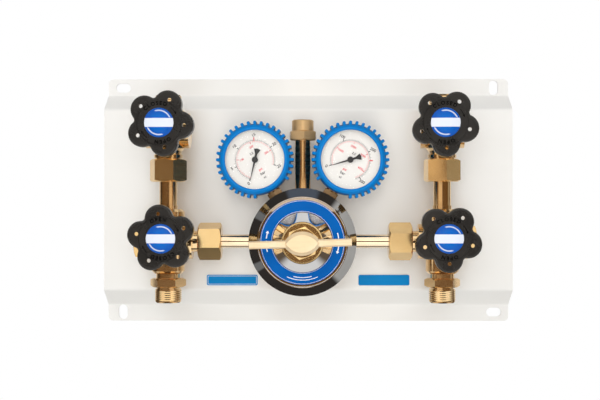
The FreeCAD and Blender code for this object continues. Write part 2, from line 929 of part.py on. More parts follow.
def poppet():
    """The moving seat with a pin that reaches through the nozzle to the diaphragm."""
    seat = nozzle_back - free
    solids = [
        rod(poppet_radius, regulator, outward, seat - poppet_length, seat),
        rod(poppet_pin, regulator, outward, seat - 1, flange_end - free),
    ]
    return fuse_all(solids)


def poppet_spring():
    start = poppet_cavity_start + 0.1
    end = nozzle_back - 2 * free - poppet_length
    return coil(poppet_spring_radius, poppet_wire, poppet_spring_turns, regulator, outward, start, end)


def diaphragm_plate():
    start = flange_end + diaphragm_thickness + free
    end = start + plate_thickness
    profile = [(start, 0), (start, plate_radius - 1), (start + 1, plate_radius), (end - 1, plate_radius)]
    guide = spring_radius - spring_wire / 2 - 1
    profile += [(end, plate_radius - 1), (end, guide), (end + 2, guide - 1), (end + 2, 0)]
    return turned(profile, regulator, outward)


def button_start():
    """Where the spring button stands at rest, a gap behind the adjusting screw's tip."""
    return turret_end - bush_depth - 2.0 - button_thickness


def range_spring():
    start = flange_end + diaphragm_thickness + 2 * free + plate_thickness
    return coil(spring_radius, spring_wire, spring_turns, regulator, outward, start, button_start() - free)


def spring_button():
    start = button_start()
    end = start + button_thickness
    guide = spring_radius - spring_wire / 2 - 1
    profile = [(start - 2, 0), (start - 2, guide - 1), (start, guide), (start, button_radius), (end, button_radius)]
    profile += [(end, screw_radius), (end - 1, screw_radius - 2), (end - 1, 0)]
    return turned(profile, regulator, outward)


def bonnet():
    """The plated cap: a bevelled skirt screwed over the body, a sunk label ring and a turret."""
    clamp = flange_end + diaphragm_thickness
    step_end = bonnet_face + turret_step
    skirt = [
        (bonnet_start, body_flange_radius + thread_play),
        (bonnet_start, bonnet_radius - 1),
        (bonnet_start + 1, bonnet_radius),
        (bonnet_face - bevel_depth, bonnet_radius),
        (bonnet_face, bonnet_rim_radius + 1),
        (bonnet_rim, bonnet_rim_radius),
        (bonnet_rim, bonnet_rim_radius - 0.6),
        (bonnet_face - 1, groove_radius),
        (bonnet_face - 1, label_outer + 0.3),
    ]
    turret = [
        (bonnet_face, label_outer + 0.3),
        (bonnet_face, turret_base),
        (step_end, turret_base - 0.2),
        (step_end + turret_cone, turret_top),
        (turret_end, turret_top),
    ]
    inside = [
        (turret_end, bush_shank + thread_play),
        (turret_end - bonnet_wall, bush_shank + thread_play),
        (turret_end - bonnet_wall, turret_cavity),
        (bonnet_face - bonnet_wall, turret_cavity),
        (bonnet_face - bonnet_wall, bonnet_cavity),
        (clamp, bonnet_cavity),
        (clamp, body_flange_radius + thread_play),
    ]
    return turned(skirt + turret + inside, regulator, outward)


def bonnet_label():
    profile = [
        (bonnet_face, label_inner),
        (bonnet_face, label_outer),
        (bonnet_face + label_thickness, label_outer),
        (bonnet_face + label_thickness, label_inner),
    ]
    return turned(profile, regulator, outward)


def bonnet_bush():
    """A flanged hexagon bush that the adjusting screw turns in."""
    flange_top = turret_end + bush_flange
    solids = [
        rod(bush_shank, regulator, outward, turret_end - bush_depth, turret_end),
        turned(
            [
                (turret_end, 0),
                (turret_end, bush_flange_radius),
                (flange_top - 1, bush_flange_radius),
                (flange_top, bush_flange_radius - 1.2),
                (flange_top, 0),
            ],
            regulator,
            outward,
        ),
        chamfered_hexagon(bush_flats, regulator, outward, flange_top, flange_top + bush_hex, bush_turn, both=False),
    ]
    return fuse_all(solids).cut(rod(screw_radius + running, regulator, outward, turret_end - 10, flange_top + 20))


def lens_slab(half_width, half_height, start, end, inset_front):
    """The handle's hub, pointed towards both ends of the bar, with its front and back edges eased."""
    wires = []
    stations = [(start, inset_front), (start + 2, 0), (end - 3, 0), (end, inset_front)]
    for along, inset in stations:
        wide = half_width - inset
        high = half_height - inset
        tips = [Vector(-wide, 0, along), Vector(wide, 0, along)]
        arcs = [
            Part.Arc(tips[0], Vector(0, high, along), tips[1]).toShape(),
            Part.Arc(tips[1], Vector(0, -high, along), tips[0]).toShape(),
        ]
        wires.append(Part.Wire(arcs))
    slabs = [Part.makeLoft([a, b], True, True) for a, b in zip(wires, wires[1:])]
    return fuse_all(slabs)


def t_handle():
    """The adjusting screw, its hub and its cross bar, in one piece."""
    hub = lens_slab(handle_half_width, handle_half_height, handle_back, handle_back + handle_depth, 3.0)
    middle = handle_back + handle_depth / 2 + 1
    bar = Part.makeBox(bar_length, bar_height, bar_depth)
    bar.translate(Vector(bar_shift - bar_length / 2, -bar_height / 2, middle - bar_depth / 2))
    long_edges = [e for e in bar.Edges if abs(e.tangentAt(e.FirstParameter).x) > 0.99]
    bar = bar.makeChamfer(1.2, long_edges)
    tip = button_start() + button_thickness - 1 + free
    screw = Part.makeCylinder(screw_radius, handle_back - tip - 1, Vector(0, 0, tip + 2))
    point = Part.makeCone(screw_radius - 2.2, screw_radius, 2, Vector(0, 0, tip))
    handle = fuse_all([hub, bar, screw, point])
    handle.rotate(Vector(0, 0, 0), up, bar_tilt)
    return forward(handle, regulator)


# Outlet at the top

def outlet_base():
    return Vector(regulator_x, column_y, 0)


def outlet_tube():
    start = branch_z + top_boss_reach - port_depth
    end = outlet_top_z + outlet_hex / 2
    body = rod(outlet_radius, outlet_base(), up, start, end)
    return body.cut(rod(outlet_bore_radius, outlet_base(), up, start - 1, end + 1))


def outlet_coupling():
    base = outlet_base()
    hex_end = outlet_top_z + outlet_hex
    end = hex_end + outlet_round
    solids = [
        chamfered_hexagon(outlet_flats, base, up, outlet_top_z, hex_end, outlet_turn),
        turned(
            [
                (hex_end - 1, 0),
                (hex_end - 1, outlet_round_radius - 0.5),
                (hex_end + 0.5, outlet_round_radius),
                (end - 1, outlet_round_radius),
                (end, outlet_round_radius - 1),
                (end, 0),
            ],
            base,
            up,
        ),
    ]
    tube_end = outlet_top_z + outlet_hex / 2
    return fuse_all(solids).cut([
        rod(outlet_radius + thread_play, base, up, outlet_top_z - 1, tube_end),
        rod(outlet_bore_radius, base, up, tube_end - 1, end),
        rod(outlet_thread, base, up, end - outlet_thread_depth, end + 1),
    ])


# Gauges, drawn face up about their own centre with the stem towards -Y and then turned to face the viewer

def at_gauge(shape, side):
    """Puts a gauge's piece at its place, its stem pointing to the regulator's axis."""
    way = gauge_direction(side)
    lean = -gauge_angle if side == "right" else gauge_angle
    shape.rotate(Vector(0, 0, 0), up, lean)
    return forward(shape, regulator + way * gauge_distance)


def gauge_case():
    floor = case_start + case_wall
    profile = [(case_start, 0), (case_start, case_radius), (case_end, case_radius), (case_end, case_radius - case_wall)]
    profile += [(floor, case_radius - case_wall), (floor, 0)]
    stem_way = rod(stem_radius + thread_play, Vector(0, 0, gauge_out), Vector(0, -1, 0), 0, case_radius + 1)
    return turned(profile, Vector(0, 0, 0), up).cut(stem_way)


def gauge_movement():
    """The brass stem with its hexagon, the block it carries and the bent pressure tube."""
    centre = Vector(0, 0, gauge_out)
    down = Vector(0, -1, 0)
    hex_start = gauge_distance - stem_hex_end
    hex_end = gauge_distance - stem_hex_start
    stem_end = gauge_distance - (gauge_boss_reach - port_depth) - 1
    block_low = tube_radius - 3
    solids = [
        rod(stem_radius, centre, down, block_low, hex_start + 1),
        chamfered_hexagon(stem_flats, centre, down, hex_start, hex_end, corner_front),
        rod(stem_thread, centre, down, hex_end - 1, stem_end),
        Part.makeBox(2 * stem_block, tube_radius + 4 - block_low + 2, 8, Vector(-stem_block, -tube_radius - 4, gauge_out - 4)),
    ]
    section = Part.makePolygon([
        Vector(tube_radius - tube_half_width, 0, gauge_out - tube_half_depth),
        Vector(tube_radius + tube_half_width, 0, gauge_out - tube_half_depth),
        Vector(tube_radius + tube_half_width, 0, gauge_out + tube_half_depth),
        Vector(tube_radius - tube_half_width, 0, gauge_out + tube_half_depth),
        Vector(tube_radius - tube_half_width, 0, gauge_out - tube_half_depth),
    ])
    bow = Part.Face(section).revolve(Vector(0, 0, 0), up, 270 - tube_end_angle)
    bow.rotate(Vector(0, 0, 0), up, tube_end_angle)
    solids.append(bow)
    return fuse_all(solids).cut(rod(drilling / 2, centre, down, block_low + 2, stem_end + 1))


def tooth_ring():
    """The ribs round the boot, with a plain stretch at the stem and their ends sloped to its shoulders."""
    root = boot_radius - boot_shoulder / 2
    ribs = []
    for i in range(tooth_count):
        middle = 90 + (i - (tooth_count - 1) / 2) * tooth_pitch
        half = tooth_width / 2
        corners = [
            polar(root, middle - half, boot_start),
            polar(tooth_tip - 0.9, middle - half * 0.9, boot_start),
            polar(tooth_tip, middle - half * 0.55, boot_start),
            polar(tooth_tip, middle + half * 0.55, boot_start),
            polar(tooth_tip - 0.9, middle + half * 0.9, boot_start),
            polar(root, middle + half, boot_start),
        ]
        corners.append(corners[0])
        ribs.append(Part.Face(Part.makePolygon(corners)).extrude(Vector(0, 0, boot_end - boot_start)))
    ends = [
        (boot_start + 2, root - 1),
        (boot_start + 3, tooth_tip - 0.5),
        (boot_start + 4, tooth_tip + 1),
        (tooth_end - 3, tooth_tip + 1),
        (tooth_end - 2, tooth_tip - 0.3),
        (tooth_end, boot_radius - 1),
        (tooth_end, root - 1),
    ]
    envelope = turned(ends, Vector(0, 0, 0), up)
    return [rib.common(envelope) for rib in ribs]


def gauge_boot():
    """A rubber cover drawn over the case, ribbed like a tyre, with a lip round the window."""
    inner = case_radius + thread_play
    lip = window_out + window_thickness
    profile = [
        (boot_start, boot_back_opening),
        (boot_start, boot_radius - 2),
        (boot_start + 2, boot_radius),
        (boot_end - boot_shoulder, boot_radius),
        (boot_end - boot_shoulder / 3, boot_radius - 1.4),
        (boot_end, boot_radius - 3.6),
        (boot_end, boot_opening + 0.8),
        (boot_end - 0.8, boot_opening),
        (lip, boot_opening),
        (lip, inner),
        (case_start, inner),
        (case_start, boot_back_opening),
    ]
    ring = turned(profile, Vector(0, 0, 0), up)
    boot = ring.multiFuse(tooth_ring())
    stem_way = rod(stem_radius + 1, Vector(0, 0, gauge_out), Vector(0, -1, 0), case_radius - 2, tooth_tip + 2)
    return boot.cut(stem_way)


def gauge_dial():
    disc = Part.makeCylinder(dial_radius, dial_thickness, Vector(0, 0, dial_out))
    return disc.cut(Part.makeCylinder(arbor_radius + free, dial_thickness, Vector(0, 0, dial_out)))


def gauge_window():
    return Part.makeCylinder(window_radius, window_thickness, Vector(0, 0, window_out))


def gauge_pointer(side):
    """A needle with a hub and a flared tail, at zero, with its arbor through the dial."""
    reach = pointer_length
    points = [
        Vector(reach, 0, pointer_out),
        Vector(0, 1.0, pointer_out),
        Vector(-pointer_tail * 0.55, 1.1, pointer_out),
        Vector(-pointer_tail, pointer_tail_half, pointer_out),
        Vector(-pointer_tail - 0.8, 0, pointer_out),
        Vector(-pointer_tail, -pointer_tail_half, pointer_out),
        Vector(-pointer_tail * 0.55, -1.1, pointer_out),
        Vector(0, -1.0, pointer_out),
        Vector(reach, 0, pointer_out),
    ]
    blade = Part.Face(Part.makePolygon(points)).extrude(Vector(0, 0, pointer_thickness))
    hub = Part.makeCylinder(pointer_hub, pointer_thickness + 0.6, Vector(0, 0, pointer_out))
    arbor = Part.makeCylinder(arbor_radius, pointer_out - gauge_out - 5, Vector(0, 0, gauge_out + 5))
    needle = fuse_all([blade, hub, arbor])
    lean = -gauge_angle if side == "right" else gauge_angle
    needle.rotate(Vector(0, 0, 0), up, needle_rest[side] - lean)
    return needle


def gauges():
    parts = {}
    for side in columns:
        pieces = {
            "gauge_case": gauge_case(),
            "gauge_movement": gauge_movement(),
            "gauge_boot": gauge_boot(),
            "gauge_dial": gauge_dial(),
            "gauge_window": gauge_window(),
            "gauge_pointer": gauge_pointer(side),
        }
        for piece, shape in pieces.items():
            parts[f"{side}_{piece}"] = at_gauge(shape, side)
    return parts


def all_parts():
    parts = {
        "mounting_panel": mounting_panel(),
        "panel_screws": panel_screws(),
        "panel_washers": panel_washers(),
        "label_plates": label_plates(),
        "union_nuts": union_nuts(),
        "side_plugs": side_plugs(),
        "regulator_body": regulator_body(),
        "nozzle": nozzle(),
        "poppet": poppet(),
        "poppet_spring": poppet_spring(),
        "diaphragm": diaphragm(),
        "diaphragm_plate": diaphragm_plate(),
        "range_spring": range_spring(),
        "spring_button": spring_button(),
        "bonnet": bonnet(),
        "bonnet_label": bonnet_label(),
        "bonnet_bush": bonnet_bush(),
        "t_handle": t_handle(),
        "outlet_tube": outlet_tube(),
        "outlet_coupling": outlet_coupling(),
    }
    for side in columns:
        parts[f"{side}_inlet_connector"] = inlet_connector(side)
        parts[f"{side}_riser_pipe"] = riser_pipe(side)
        parts[f"{side}_branch_pipe"] = branch_pipe(side)
    parts.update(valves())
    parts.update(gauges())
    return parts


os.makedirs("parts", exist_ok=True)
for name, shape in all_parts().items():
    shape.exportStep(f"parts/{name}.step")
    print(name, "valid" if shape.isValid() else "NOT VALID", len(shape.Solids), round(shape.Volume))
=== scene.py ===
import math

import bmesh
import bpy
from mathutils import Matrix, Vector


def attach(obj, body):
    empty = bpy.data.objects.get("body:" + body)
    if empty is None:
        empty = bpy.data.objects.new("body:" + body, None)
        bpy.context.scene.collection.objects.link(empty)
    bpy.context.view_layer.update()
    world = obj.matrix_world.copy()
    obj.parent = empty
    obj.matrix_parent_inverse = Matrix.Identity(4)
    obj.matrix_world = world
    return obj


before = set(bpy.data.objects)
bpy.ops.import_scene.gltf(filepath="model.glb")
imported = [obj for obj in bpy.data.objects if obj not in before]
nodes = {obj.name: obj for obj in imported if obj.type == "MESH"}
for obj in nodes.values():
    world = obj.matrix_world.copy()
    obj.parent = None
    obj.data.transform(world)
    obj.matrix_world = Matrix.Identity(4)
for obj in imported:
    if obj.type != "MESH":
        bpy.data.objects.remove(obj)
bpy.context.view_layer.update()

scene = bpy.context.scene
print("frame loaded with", len(nodes), "nodes")

# The places that the printed and raised details are laid out from, in metres and degrees
layout = {
    "column": {"left": -0.136, "right": 0.1304},
    "columnOut": 0.066,
    "spindle": {"upper": 0.0706, "lower": -0.0369},
    "wheelFace": 0.060,
    "turn": {"upper_left": -1.6, "upper_right": -2.9},
    "regulator": (-0.005, -0.0408),
    "gaugeReach": 0.0912,
    "gaugeLean": {"left": 30.2, "right": -30.2},
}


# Small tools for meshes

def addObject(name, mesh, materials=()):
    thing = bpy.data.objects.new(name, mesh)
    scene.collection.objects.link(thing)
    for material in materials:
        mesh.materials.append(material)
    return thing


def meshFrom(bm, name):
    mesh = bpy.data.meshes.new(name)
    bm.normal_update()
    bm.to_mesh(mesh)
    bm.free()
    return mesh


def softShade(thing, degrees=32):
    # smooth shading with the edges above this angle kept sharp
    thing.data.shade_smooth()
    thing.data.set_sharp_from_angle(angle=math.radians(degrees))


def facing(x, out, z, turn=0.0, lean=0.0):
    # a place whose own X is right, Y is up and Z points at the viewer, turned about the upright
    # axis through it by turn and leaned in its own plane by lean
    upright = Matrix.Rotation(math.radians(turn), 4, "Z") @ Matrix.Rotation(math.radians(90), 4, "X")
    return Matrix.Translation((x, -out, z)) @ upright @ Matrix.Rotation(math.radians(lean), 4, "Z")


def stamp(bm, mesh, place, slot=0):
    # adds a mesh to the one in hand, at a place, with a material slot
    firstVert = len(bm.verts)
    firstFace = len(bm.faces)
    bm.from_mesh(mesh)
    bm.verts.ensure_lookup_table()
    bm.faces.ensure_lookup_table()
    bmesh.ops.transform(bm, matrix=place, verts=bm.verts[firstVert:])
    for face in bm.faces[firstFace:]:
        face.material_index = slot


def slab(bm, outline, low, high, place, slot=0):
    # a flat closed piece from an outline in the place's own plane
    bottom = [bm.verts.new(place @ Vector((x, y, low))) for x, y in outline]
    top = [bm.verts.new(place @ Vector((x, y, high))) for x, y in outline]
    count = len(outline)
    faces = [bm.faces.new(top), bm.faces.new(bottom[::-1])]
    for i in range(count):
        j = (i + 1) % count
        faces.append(bm.faces.new((bottom[i], bottom[j], top[j], top[i])))
    for face in faces:
        face.material_index = slot


def arcBand(bm, inner, outer, start, end, low, high, place, slot=0, steps=24):
    # a flat closed arc between two angles in degrees
    angles = [math.radians(start + (end - start) * i / steps) for i in range(steps + 1)]
    closed = abs(end - start) >= 359.9  # a full ring joins up and has no end faces
    if closed:
        angles = angles[:-1]
    rows = []
    for a in angles:
        c, s = math.cos(a), math.sin(a)
        ring = [(inner, low), (outer, low), (outer, high), (inner, high)]
        rows.append([bm.verts.new(place @ Vector((r * c, r * s, h))) for r, h in ring])
    last = len(rows) if closed else len(rows) - 1
    faces = []
    for i in range(last):
        here, there = rows[i], rows[(i + 1) % len(rows)]
        for k in range(4):
            m = (k + 1) % 4
            faces.append(bm.faces.new((here[k], there[k], there[m], here[m])))
    if not closed:
        faces.append(bm.faces.new(rows[0]))
        faces.append(bm.faces.new(rows[-1][::-1]))
    for face in faces:
        face.material_index = slot


def onRing(radius, degrees):
    a = math.radians(degrees)
    return radius * math.cos(a), radius * math.sin(a)


def tick(bm, inner, outer, degrees, width, low, high, place, slot=0):
    # a radial line
    a = math.radians(degrees)
    along = Vector((math.cos(a), math.sin(a)))
    across = Vector((-math.sin(a), math.cos(a))) * width / 2
    corners = [along * inner - across, along * outer - across, along * outer + across, along * inner + across]
    slab(bm, [tuple(c) for c in corners], low, high, place, slot)


def wordMesh(words, size, depth, weight=0.0, spacing=1.0):
    # a line of words as a mesh, centred on the origin, depth thick
    curve = bpy.data.curves.new("words", "FONT")
    curve.body = words
    curve.size = size
    curve.align_x = "CENTER"
    curve.align_y = "CENTER"
    curve.extrude = depth / 2
    curve.offset = weight
    curve.space_character = spacing
    curve.resolution_u = 4
    holder = bpy.data.objects.new("words", curve)
    scene.collection.objects.link(holder)
    bpy.context.view_layer.update()
    solved = holder.evaluated_get(bpy.context.evaluated_depsgraph_get())
    mesh = bpy.data.meshes.new_from_object(solved)
    bpy.data.objects.remove(holder)
    bpy.data.curves.remove(curve)
    return mesh


def bentWord(bm, words, size, depth, radius, middle, place, weight=0.0, spacing=1.0):
    # a word bent round a ring, with its letters' tops pointing outward
    mesh = wordMesh(words, size, depth, weight, spacing)
    for vert in mesh.vertices:
        x, y, z = vert.co
        a = math.radians(middle) - x / radius
        r = radius + y
        vert.co = (r * math.cos(a), r * math.sin(a), z)
    stamp(bm, mesh, place)
    bpy.data.meshes.remove(mesh)


# Small tools for materials

def startFinish(name, look):
    material = bpy.data.materials.new(name)
    material.use_nodes = True
    tree = material.node_tree
    shader = tree.nodes["Principled BSDF"]
    for socket, value in look.items():
        shader.inputs[socket].default_value = value
    return material, tree, shader


def addNode(tree, kind, inputs=None, **options):
    node = tree.nodes.new(kind)
    for option, value in options.items():
        setattr(node, option, value)
    for socket, value in (inputs or {}).items():
        if isinstance(value, bpy.types.NodeSocket):
            tree.links.new(value, node.inputs[socket])
        else:
            node.inputs[socket].default_value = value
    return node


def sums(tree, operation, first, second=0.0):
    return addNode(tree, "ShaderNodeMath", {0: first, 1: second}, operation=operation).outputs[0]


def fade(tree, value, low, high, start=0.0, end=1.0):
    # a smooth step from start to end while value goes from low to high
    inputs = {"Value": value, "From Min": low, "From Max": high, "To Min": start, "To Max": end}
    return addNode(tree, "ShaderNodeMapRange", inputs, interpolation_type="SMOOTHSTEP").outputs["Result"]


def spread(tree, value, start, end):
    inputs = {"Value": value, "From Min": 0.0, "From Max": 1.0, "To Min": start, "To Max": end}
    return addNode(tree, "ShaderNodeMapRange", inputs).outputs["Result"]


def grainField(tree, stretch, detail=3.0, distortion=0.0, roughness=0.55):
    # noise in the piece's own coordinates, with so many cells a metre each way
    coords = addNode(tree, "ShaderNodeTexCoord")
    mapping = addNode(tree, "ShaderNodeMapping", {"Vector": coords.outputs["Object"], "Scale": stretch})
    inputs = {"Vector": mapping.outputs[0], "Scale": 1.0, "Detail": detail, "Roughness": roughness,
              "Distortion": distortion}
    return addNode(tree, "ShaderNodeTexNoise", inputs).outputs[0]


def blendColour(tree, share, first, second):
    # sockets 6 and 7 are the node's two colours, and output 2 is the colour it gives
    node = addNode(tree, "ShaderNodeMix", {0: share, 6: first, 7: second}, data_type="RGBA")
    return node.outputs[2]


def bumpFrom(tree, height, strength, distance):
    inputs = {"Height": height, "Strength": strength, "Distance": distance}
    return addNode(tree, "ShaderNodeBump", inputs).outputs[0]


def rgba(colour):
    return (*colour, 1.0)


def dressed(thing, material):
    thing.data.materials.clear()
    thing.data.materials.append(material)


# Finishes

metalPatches = {"toneFade": (0.3, 0.7), "streakFade": (0.45, 0.8), "lineShare": 0.5, "toneShare": 0.5}


def metalFinish(name, s, patches=metalPatches):
    # metal with a patchy tone, a directional grain and faint handling marks
    look = {"Metallic": s.get("metallic", 1.0), "Roughness": s["roughness"],
            "Anisotropic": s.get("anisotropic", 0.0)}
    material, tree, shader = startFinish(name, look)
    if "smearAxis" in s:
        tangent = addNode(tree, "ShaderNodeTangent", direction_type="RADIAL", axis=s["smearAxis"])
        tree.links.new(tangent.outputs[0], shader.inputs["Tangent"])
    tone = grainField(tree, s["toneCells"], detail=4.0, distortion=0.4)
    tone = fade(tree, tone, *patches["toneFade"])
    colour = blendColour(tree, tone, rgba(s["colour"]), rgba(s["otherColour"]))
    line = grainField(tree, s["grainCells"], detail=2.0)
    streak = grainField(tree, s["streakCells"], detail=3.0)
    streak = fade(tree, streak, *patches["streakFade"], 0.0, s["streakShare"])
    colour = blendColour(tree, streak, colour, rgba(s["streakColour"]))
    tree.links.new(colour, shader.inputs["Base Color"])
    dull = sums(tree, "ADD", sums(tree, "MULTIPLY", line, patches["lineShare"]),
                sums(tree, "MULTIPLY", tone, patches["toneShare"]))
    low, high = s["roughness"] - s["roughnessSpread"], s["roughness"] + s["roughnessSpread"]
    tree.links.new(spread(tree, dull, low, high), shader.inputs["Roughness"])
    tree.links.new(bumpFrom(tree, line, s["grainStrength"], s["grainDepth"]), shader.inputs["Normal"])
    return material


plasticPatches = {
    "toneCells": 45, "toneFade": (0.3, 0.75), "glossier": 0.06, "duller": 0.08,
    "dustCells": 520, "dustFade": (0.66, 0.78), "dustColour": (0.4, 0.38, 0.35),
    # painted shade: the span of facing over which the sides darken, and the dark colour laid on them
    "paintedShadeFade": (-0.75, -0.15), "paintedShadeColour": (0.020, 0.018, 0.018),
}


def plasticFinish(name, s, patches=plasticPatches):
    # moulded plastic or rubber with a fine skin and a little unevenness in tone and gloss
    look = {"Roughness": s["roughness"], "Specular IOR Level": s["gloss"]}
    material, tree, shader = startFinish(name, look)
    tone = grainField(tree, (patches["toneCells"],) * 3, detail=4.0, distortion=0.3)
    patch = fade(tree, tone, *patches["toneFade"])
    colour = blendColour(tree, patch, rgba(s["colour"]), rgba(s["otherColour"]))
    skin = grainField(tree, (s["skinCells"],) * 3, detail=2.0)
    if "dust" in s:
        speck = grainField(tree, (patches["dustCells"],) * 3, detail=1.0)
        speck = fade(tree, speck, *patches["dustFade"], 0.0, s["dust"])
        colour = blendColour(tree, speck, colour, rgba(s.get("dustColour", patches["dustColour"])))
    if "sideShade" in s:
        # painted shade: the rubber is darkened where its surface turns away from the front, on its sides and
        # between the ribs
        normal = addNode(tree, "ShaderNodeNewGeometry").outputs["Normal"]
        forward = addNode(tree, "ShaderNodeSeparateXYZ", {0: normal}).outputs[1]
        paintedShade = fade(tree, forward, *patches["paintedShadeFade"], 0.0, s["sideShade"])
        colour = blendColour(tree, paintedShade, colour, rgba(patches["paintedShadeColour"]))
    tree.links.new(colour, shader.inputs["Base Color"])
    low, high = s["roughness"] - patches["glossier"], s["roughness"] + patches["duller"]
    tree.links.new(spread(tree, tone, low, high), shader.inputs["Roughness"])
    tree.links.new(bumpFrom(tree, skin, s["skinStrength"], s["skinDepth"]), shader.inputs["Normal"])
    return material


finishSettings = {
    "panelSteel": {
        "colour": (0.96, 0.955, 0.94), "otherColour": (0.925, 0.92, 0.90), "toneCells": (3, 3, 3),
        "streakCells": (3, 3, 40), "streakShare": 0.14, "streakColour": (0.85, 0.845, 0.83),
        "grainCells": (12, 1200, 1200), "grainStrength": 0.05, "grainDepth": 0.00003,
        "roughness": 0.52, "roughnessSpread": 0.02, "anisotropic": 0.95, "smearAxis": "X", "metallic": 0.60,
    },
    "brassHex": {
        "colour": (0.81, 0.57, 0.275), "otherColour": (0.77, 0.52, 0.23), "toneCells": (30, 30, 30),
        "streakCells": (90, 90, 90), "streakShare": 0.15, "streakColour": (0.70, 0.45, 0.20),
        "grainCells": (1500, 1500, 260), "grainStrength": 0.05, "grainDepth": 0.00002,
        "roughness": 0.15, "roughnessSpread": 0.03, "metallic": 0.93,
    },
    "brassTurned": {
        "colour": (0.88, 0.65, 0.37), "otherColour": (0.83, 0.57, 0.29), "toneCells": (28, 28, 28),
        "streakCells": (60, 60, 600), "streakShare": 0.20, "streakColour": (0.70, 0.46, 0.24),
        "grainCells": (60, 60, 2200), "grainStrength": 0.08, "grainDepth": 0.00003,
        "roughness": 0.15, "roughnessSpread": 0.05,
    },
    # painted light: a paler copy of the brass for the level branch pipes, lighter to stand in for the bright
    # light they show
    "brassPipePaintedLight": {
        "colour": (0.95, 0.80, 0.60), "otherColour": (0.92, 0.74, 0.52), "toneCells": (30, 30, 30),
        "streakCells": (12, 300, 300), "streakShare": 0.15, "streakColour": (0.74, 0.54, 0.34),
        "grainCells": (30, 900, 900), "grainStrength": 0.05, "grainDepth": 0.00002,
        "roughness": 0.10, "roughnessSpread": 0.04,
    },
    "brassBar": {
        "colour": (0.93, 0.76, 0.52), "otherColour": (0.88, 0.69, 0.44), "toneCells": (50, 50, 50),
        "streakCells": (40, 500, 500), "streakShare": 0.3, "streakColour": (0.70, 0.50, 0.28),
        "grainCells": (60, 1500, 1500), "grainStrength": 0.14, "grainDepth": 0.00004,
        "roughness": 0.42, "roughnessSpread": 0.06, "metallic": 0.60,
    },
    "brassCoupling": {
        "colour": (0.70, 0.49, 0.27), "otherColour": (0.62, 0.42, 0.21), "toneCells": (50, 50, 50),
        "streakCells": (60, 60, 500), "streakShare": 0.3, "streakColour": (0.52, 0.34, 0.17),
        "grainCells": (60, 60, 1800), "grainStrength": 0.12, "grainDepth": 0.00003,
        "roughness": 0.34, "roughnessSpread": 0.06, "metallic": 0.75,
    },
    # painted shade: a dark copy of the brass for the gauge stems, which sit in the shade between the boots
    # and the bonnet
    "brassStemPaintedShade": {
        "colour": (0.24, 0.15, 0.080), "otherColour": (0.18, 0.11, 0.055), "toneCells": (60, 60, 60),
        "streakCells": (200, 200, 200), "streakShare": 0.25, "streakColour": (0.13, 0.08, 0.04),
        "grainCells": (900, 900, 300), "grainStrength": 0.08, "grainDepth": 0.00002,
        "roughness": 0.24, "roughnessSpread": 0.05,
    },
    "chromePlate": {
        "colour": (0.80, 0.80, 0.81), "otherColour": (0.74, 0.745, 0.76), "toneCells": (30, 30, 30),
        "streakCells": (200, 200, 200), "streakShare": 0.10, "streakColour": (0.60, 0.61, 0.63),
        "grainCells": (400, 400, 400), "grainStrength": 0.02, "grainDepth": 0.00002,
        "roughness": 0.045, "roughnessSpread": 0.02,
    },
    "zincSteel": {
        "colour": (0.62, 0.63, 0.64), "otherColour": (0.52, 0.53, 0.55), "toneCells": (90, 90, 90),
        "streakCells": (300, 300, 300), "streakShare": 0.3, "streakColour": (0.40, 0.41, 0.42),
        "grainCells": (900, 900, 900), "grainStrength": 0.10, "grainDepth": 0.00003,
        "roughness": 0.30, "roughnessSpread": 0.06,
    },
}
metals = {name: metalFinish(name, settings) for name, settings in finishSettings.items()}

plasticSettings = {
    "wheelBlack": {
        "colour": (0.011, 0.010, 0.009), "otherColour": (0.016, 0.014, 0.012),
        "roughness": 0.27, "gloss": 0.40, "skinCells": 1100, "skinStrength": 0.12, "skinDepth": 0.00004,
        "dust": 0.05,
    },
    "letterBlack": {
        "colour": (0.001, 0.001, 0.001), "otherColour": (0.002, 0.002, 0.002),
        "roughness": 0.75, "gloss": 0.06, "skinCells": 1100, "skinStrength": 0.2, "skinDepth": 0.00004,
    },
    "bootBlue": {
        "colour": (0.0, 0.164, 0.485), "otherColour": (0.0, 0.150, 0.445),
        # the boots get painted shade on the sides of their ribs
        "roughness": 0.36, "gloss": 0.16, "sideShade": 0.62, "skinCells": 900, "skinStrength": 0.2,
        "skinDepth": 0.00006, "dust": 0.02, "dustColour": (0.2, 0.4, 0.7),
    },
    "labelBlue": {
        "colour": (0.0, 0.091, 0.35), "otherColour": (0.0, 0.080, 0.32),
        "roughness": 0.36, "gloss": 0.06, "skinCells": 1500, "skinStrength": 0.06, "skinDepth": 0.00003,
    },
    "plateBlue": {
        "colour": (0.004, 0.192, 0.47), "otherColour": (0.004, 0.175, 0.44),
        "roughness": 0.36, "gloss": 0.08, "skinCells": 1500, "skinStrength": 0.06, "skinDepth": 0.00003,
    },
    "dialWhite": {
        "colour": (0.700, 0.686, 0.660), "otherColour": (0.686, 0.671, 0.645),
        "roughness": 0.42, "gloss": 0.3, "skinCells": 1400, "skinStrength": 0.05, "skinDepth": 0.00002,
    },
    "inkBlack": {
        "colour": (0.014, 0.014, 0.015), "otherColour": (0.022, 0.022, 0.024),
        "roughness": 0.45, "gloss": 0.4, "skinCells": 1400, "skinStrength": 0.05, "skinDepth": 0.00002,
    },
    "inkRed": {
        "colour": (0.66, 0.022, 0.045), "otherColour": (0.58, 0.018, 0.036),
        "roughness": 0.45, "gloss": 0.4, "skinCells": 1400, "skinStrength": 0.05, "skinDepth": 0.00002,
    },
    "inkWhite": {
        "colour": (0.82, 0.83, 0.85), "otherColour": (0.76, 0.77, 0.80),
        "roughness": 0.45, "gloss": 0.4, "skinCells": 1400, "skinStrength": 0.05, "skinDepth": 0.00002,
    },
    "rubberDark": {
        "colour": (0.05, 0.048, 0.045), "otherColour": (0.07, 0.066, 0.06),
        "roughness": 0.6, "gloss": 0.4, "skinCells": 900, "skinStrength": 0.3, "skinDepth": 0.00006,
    },
}
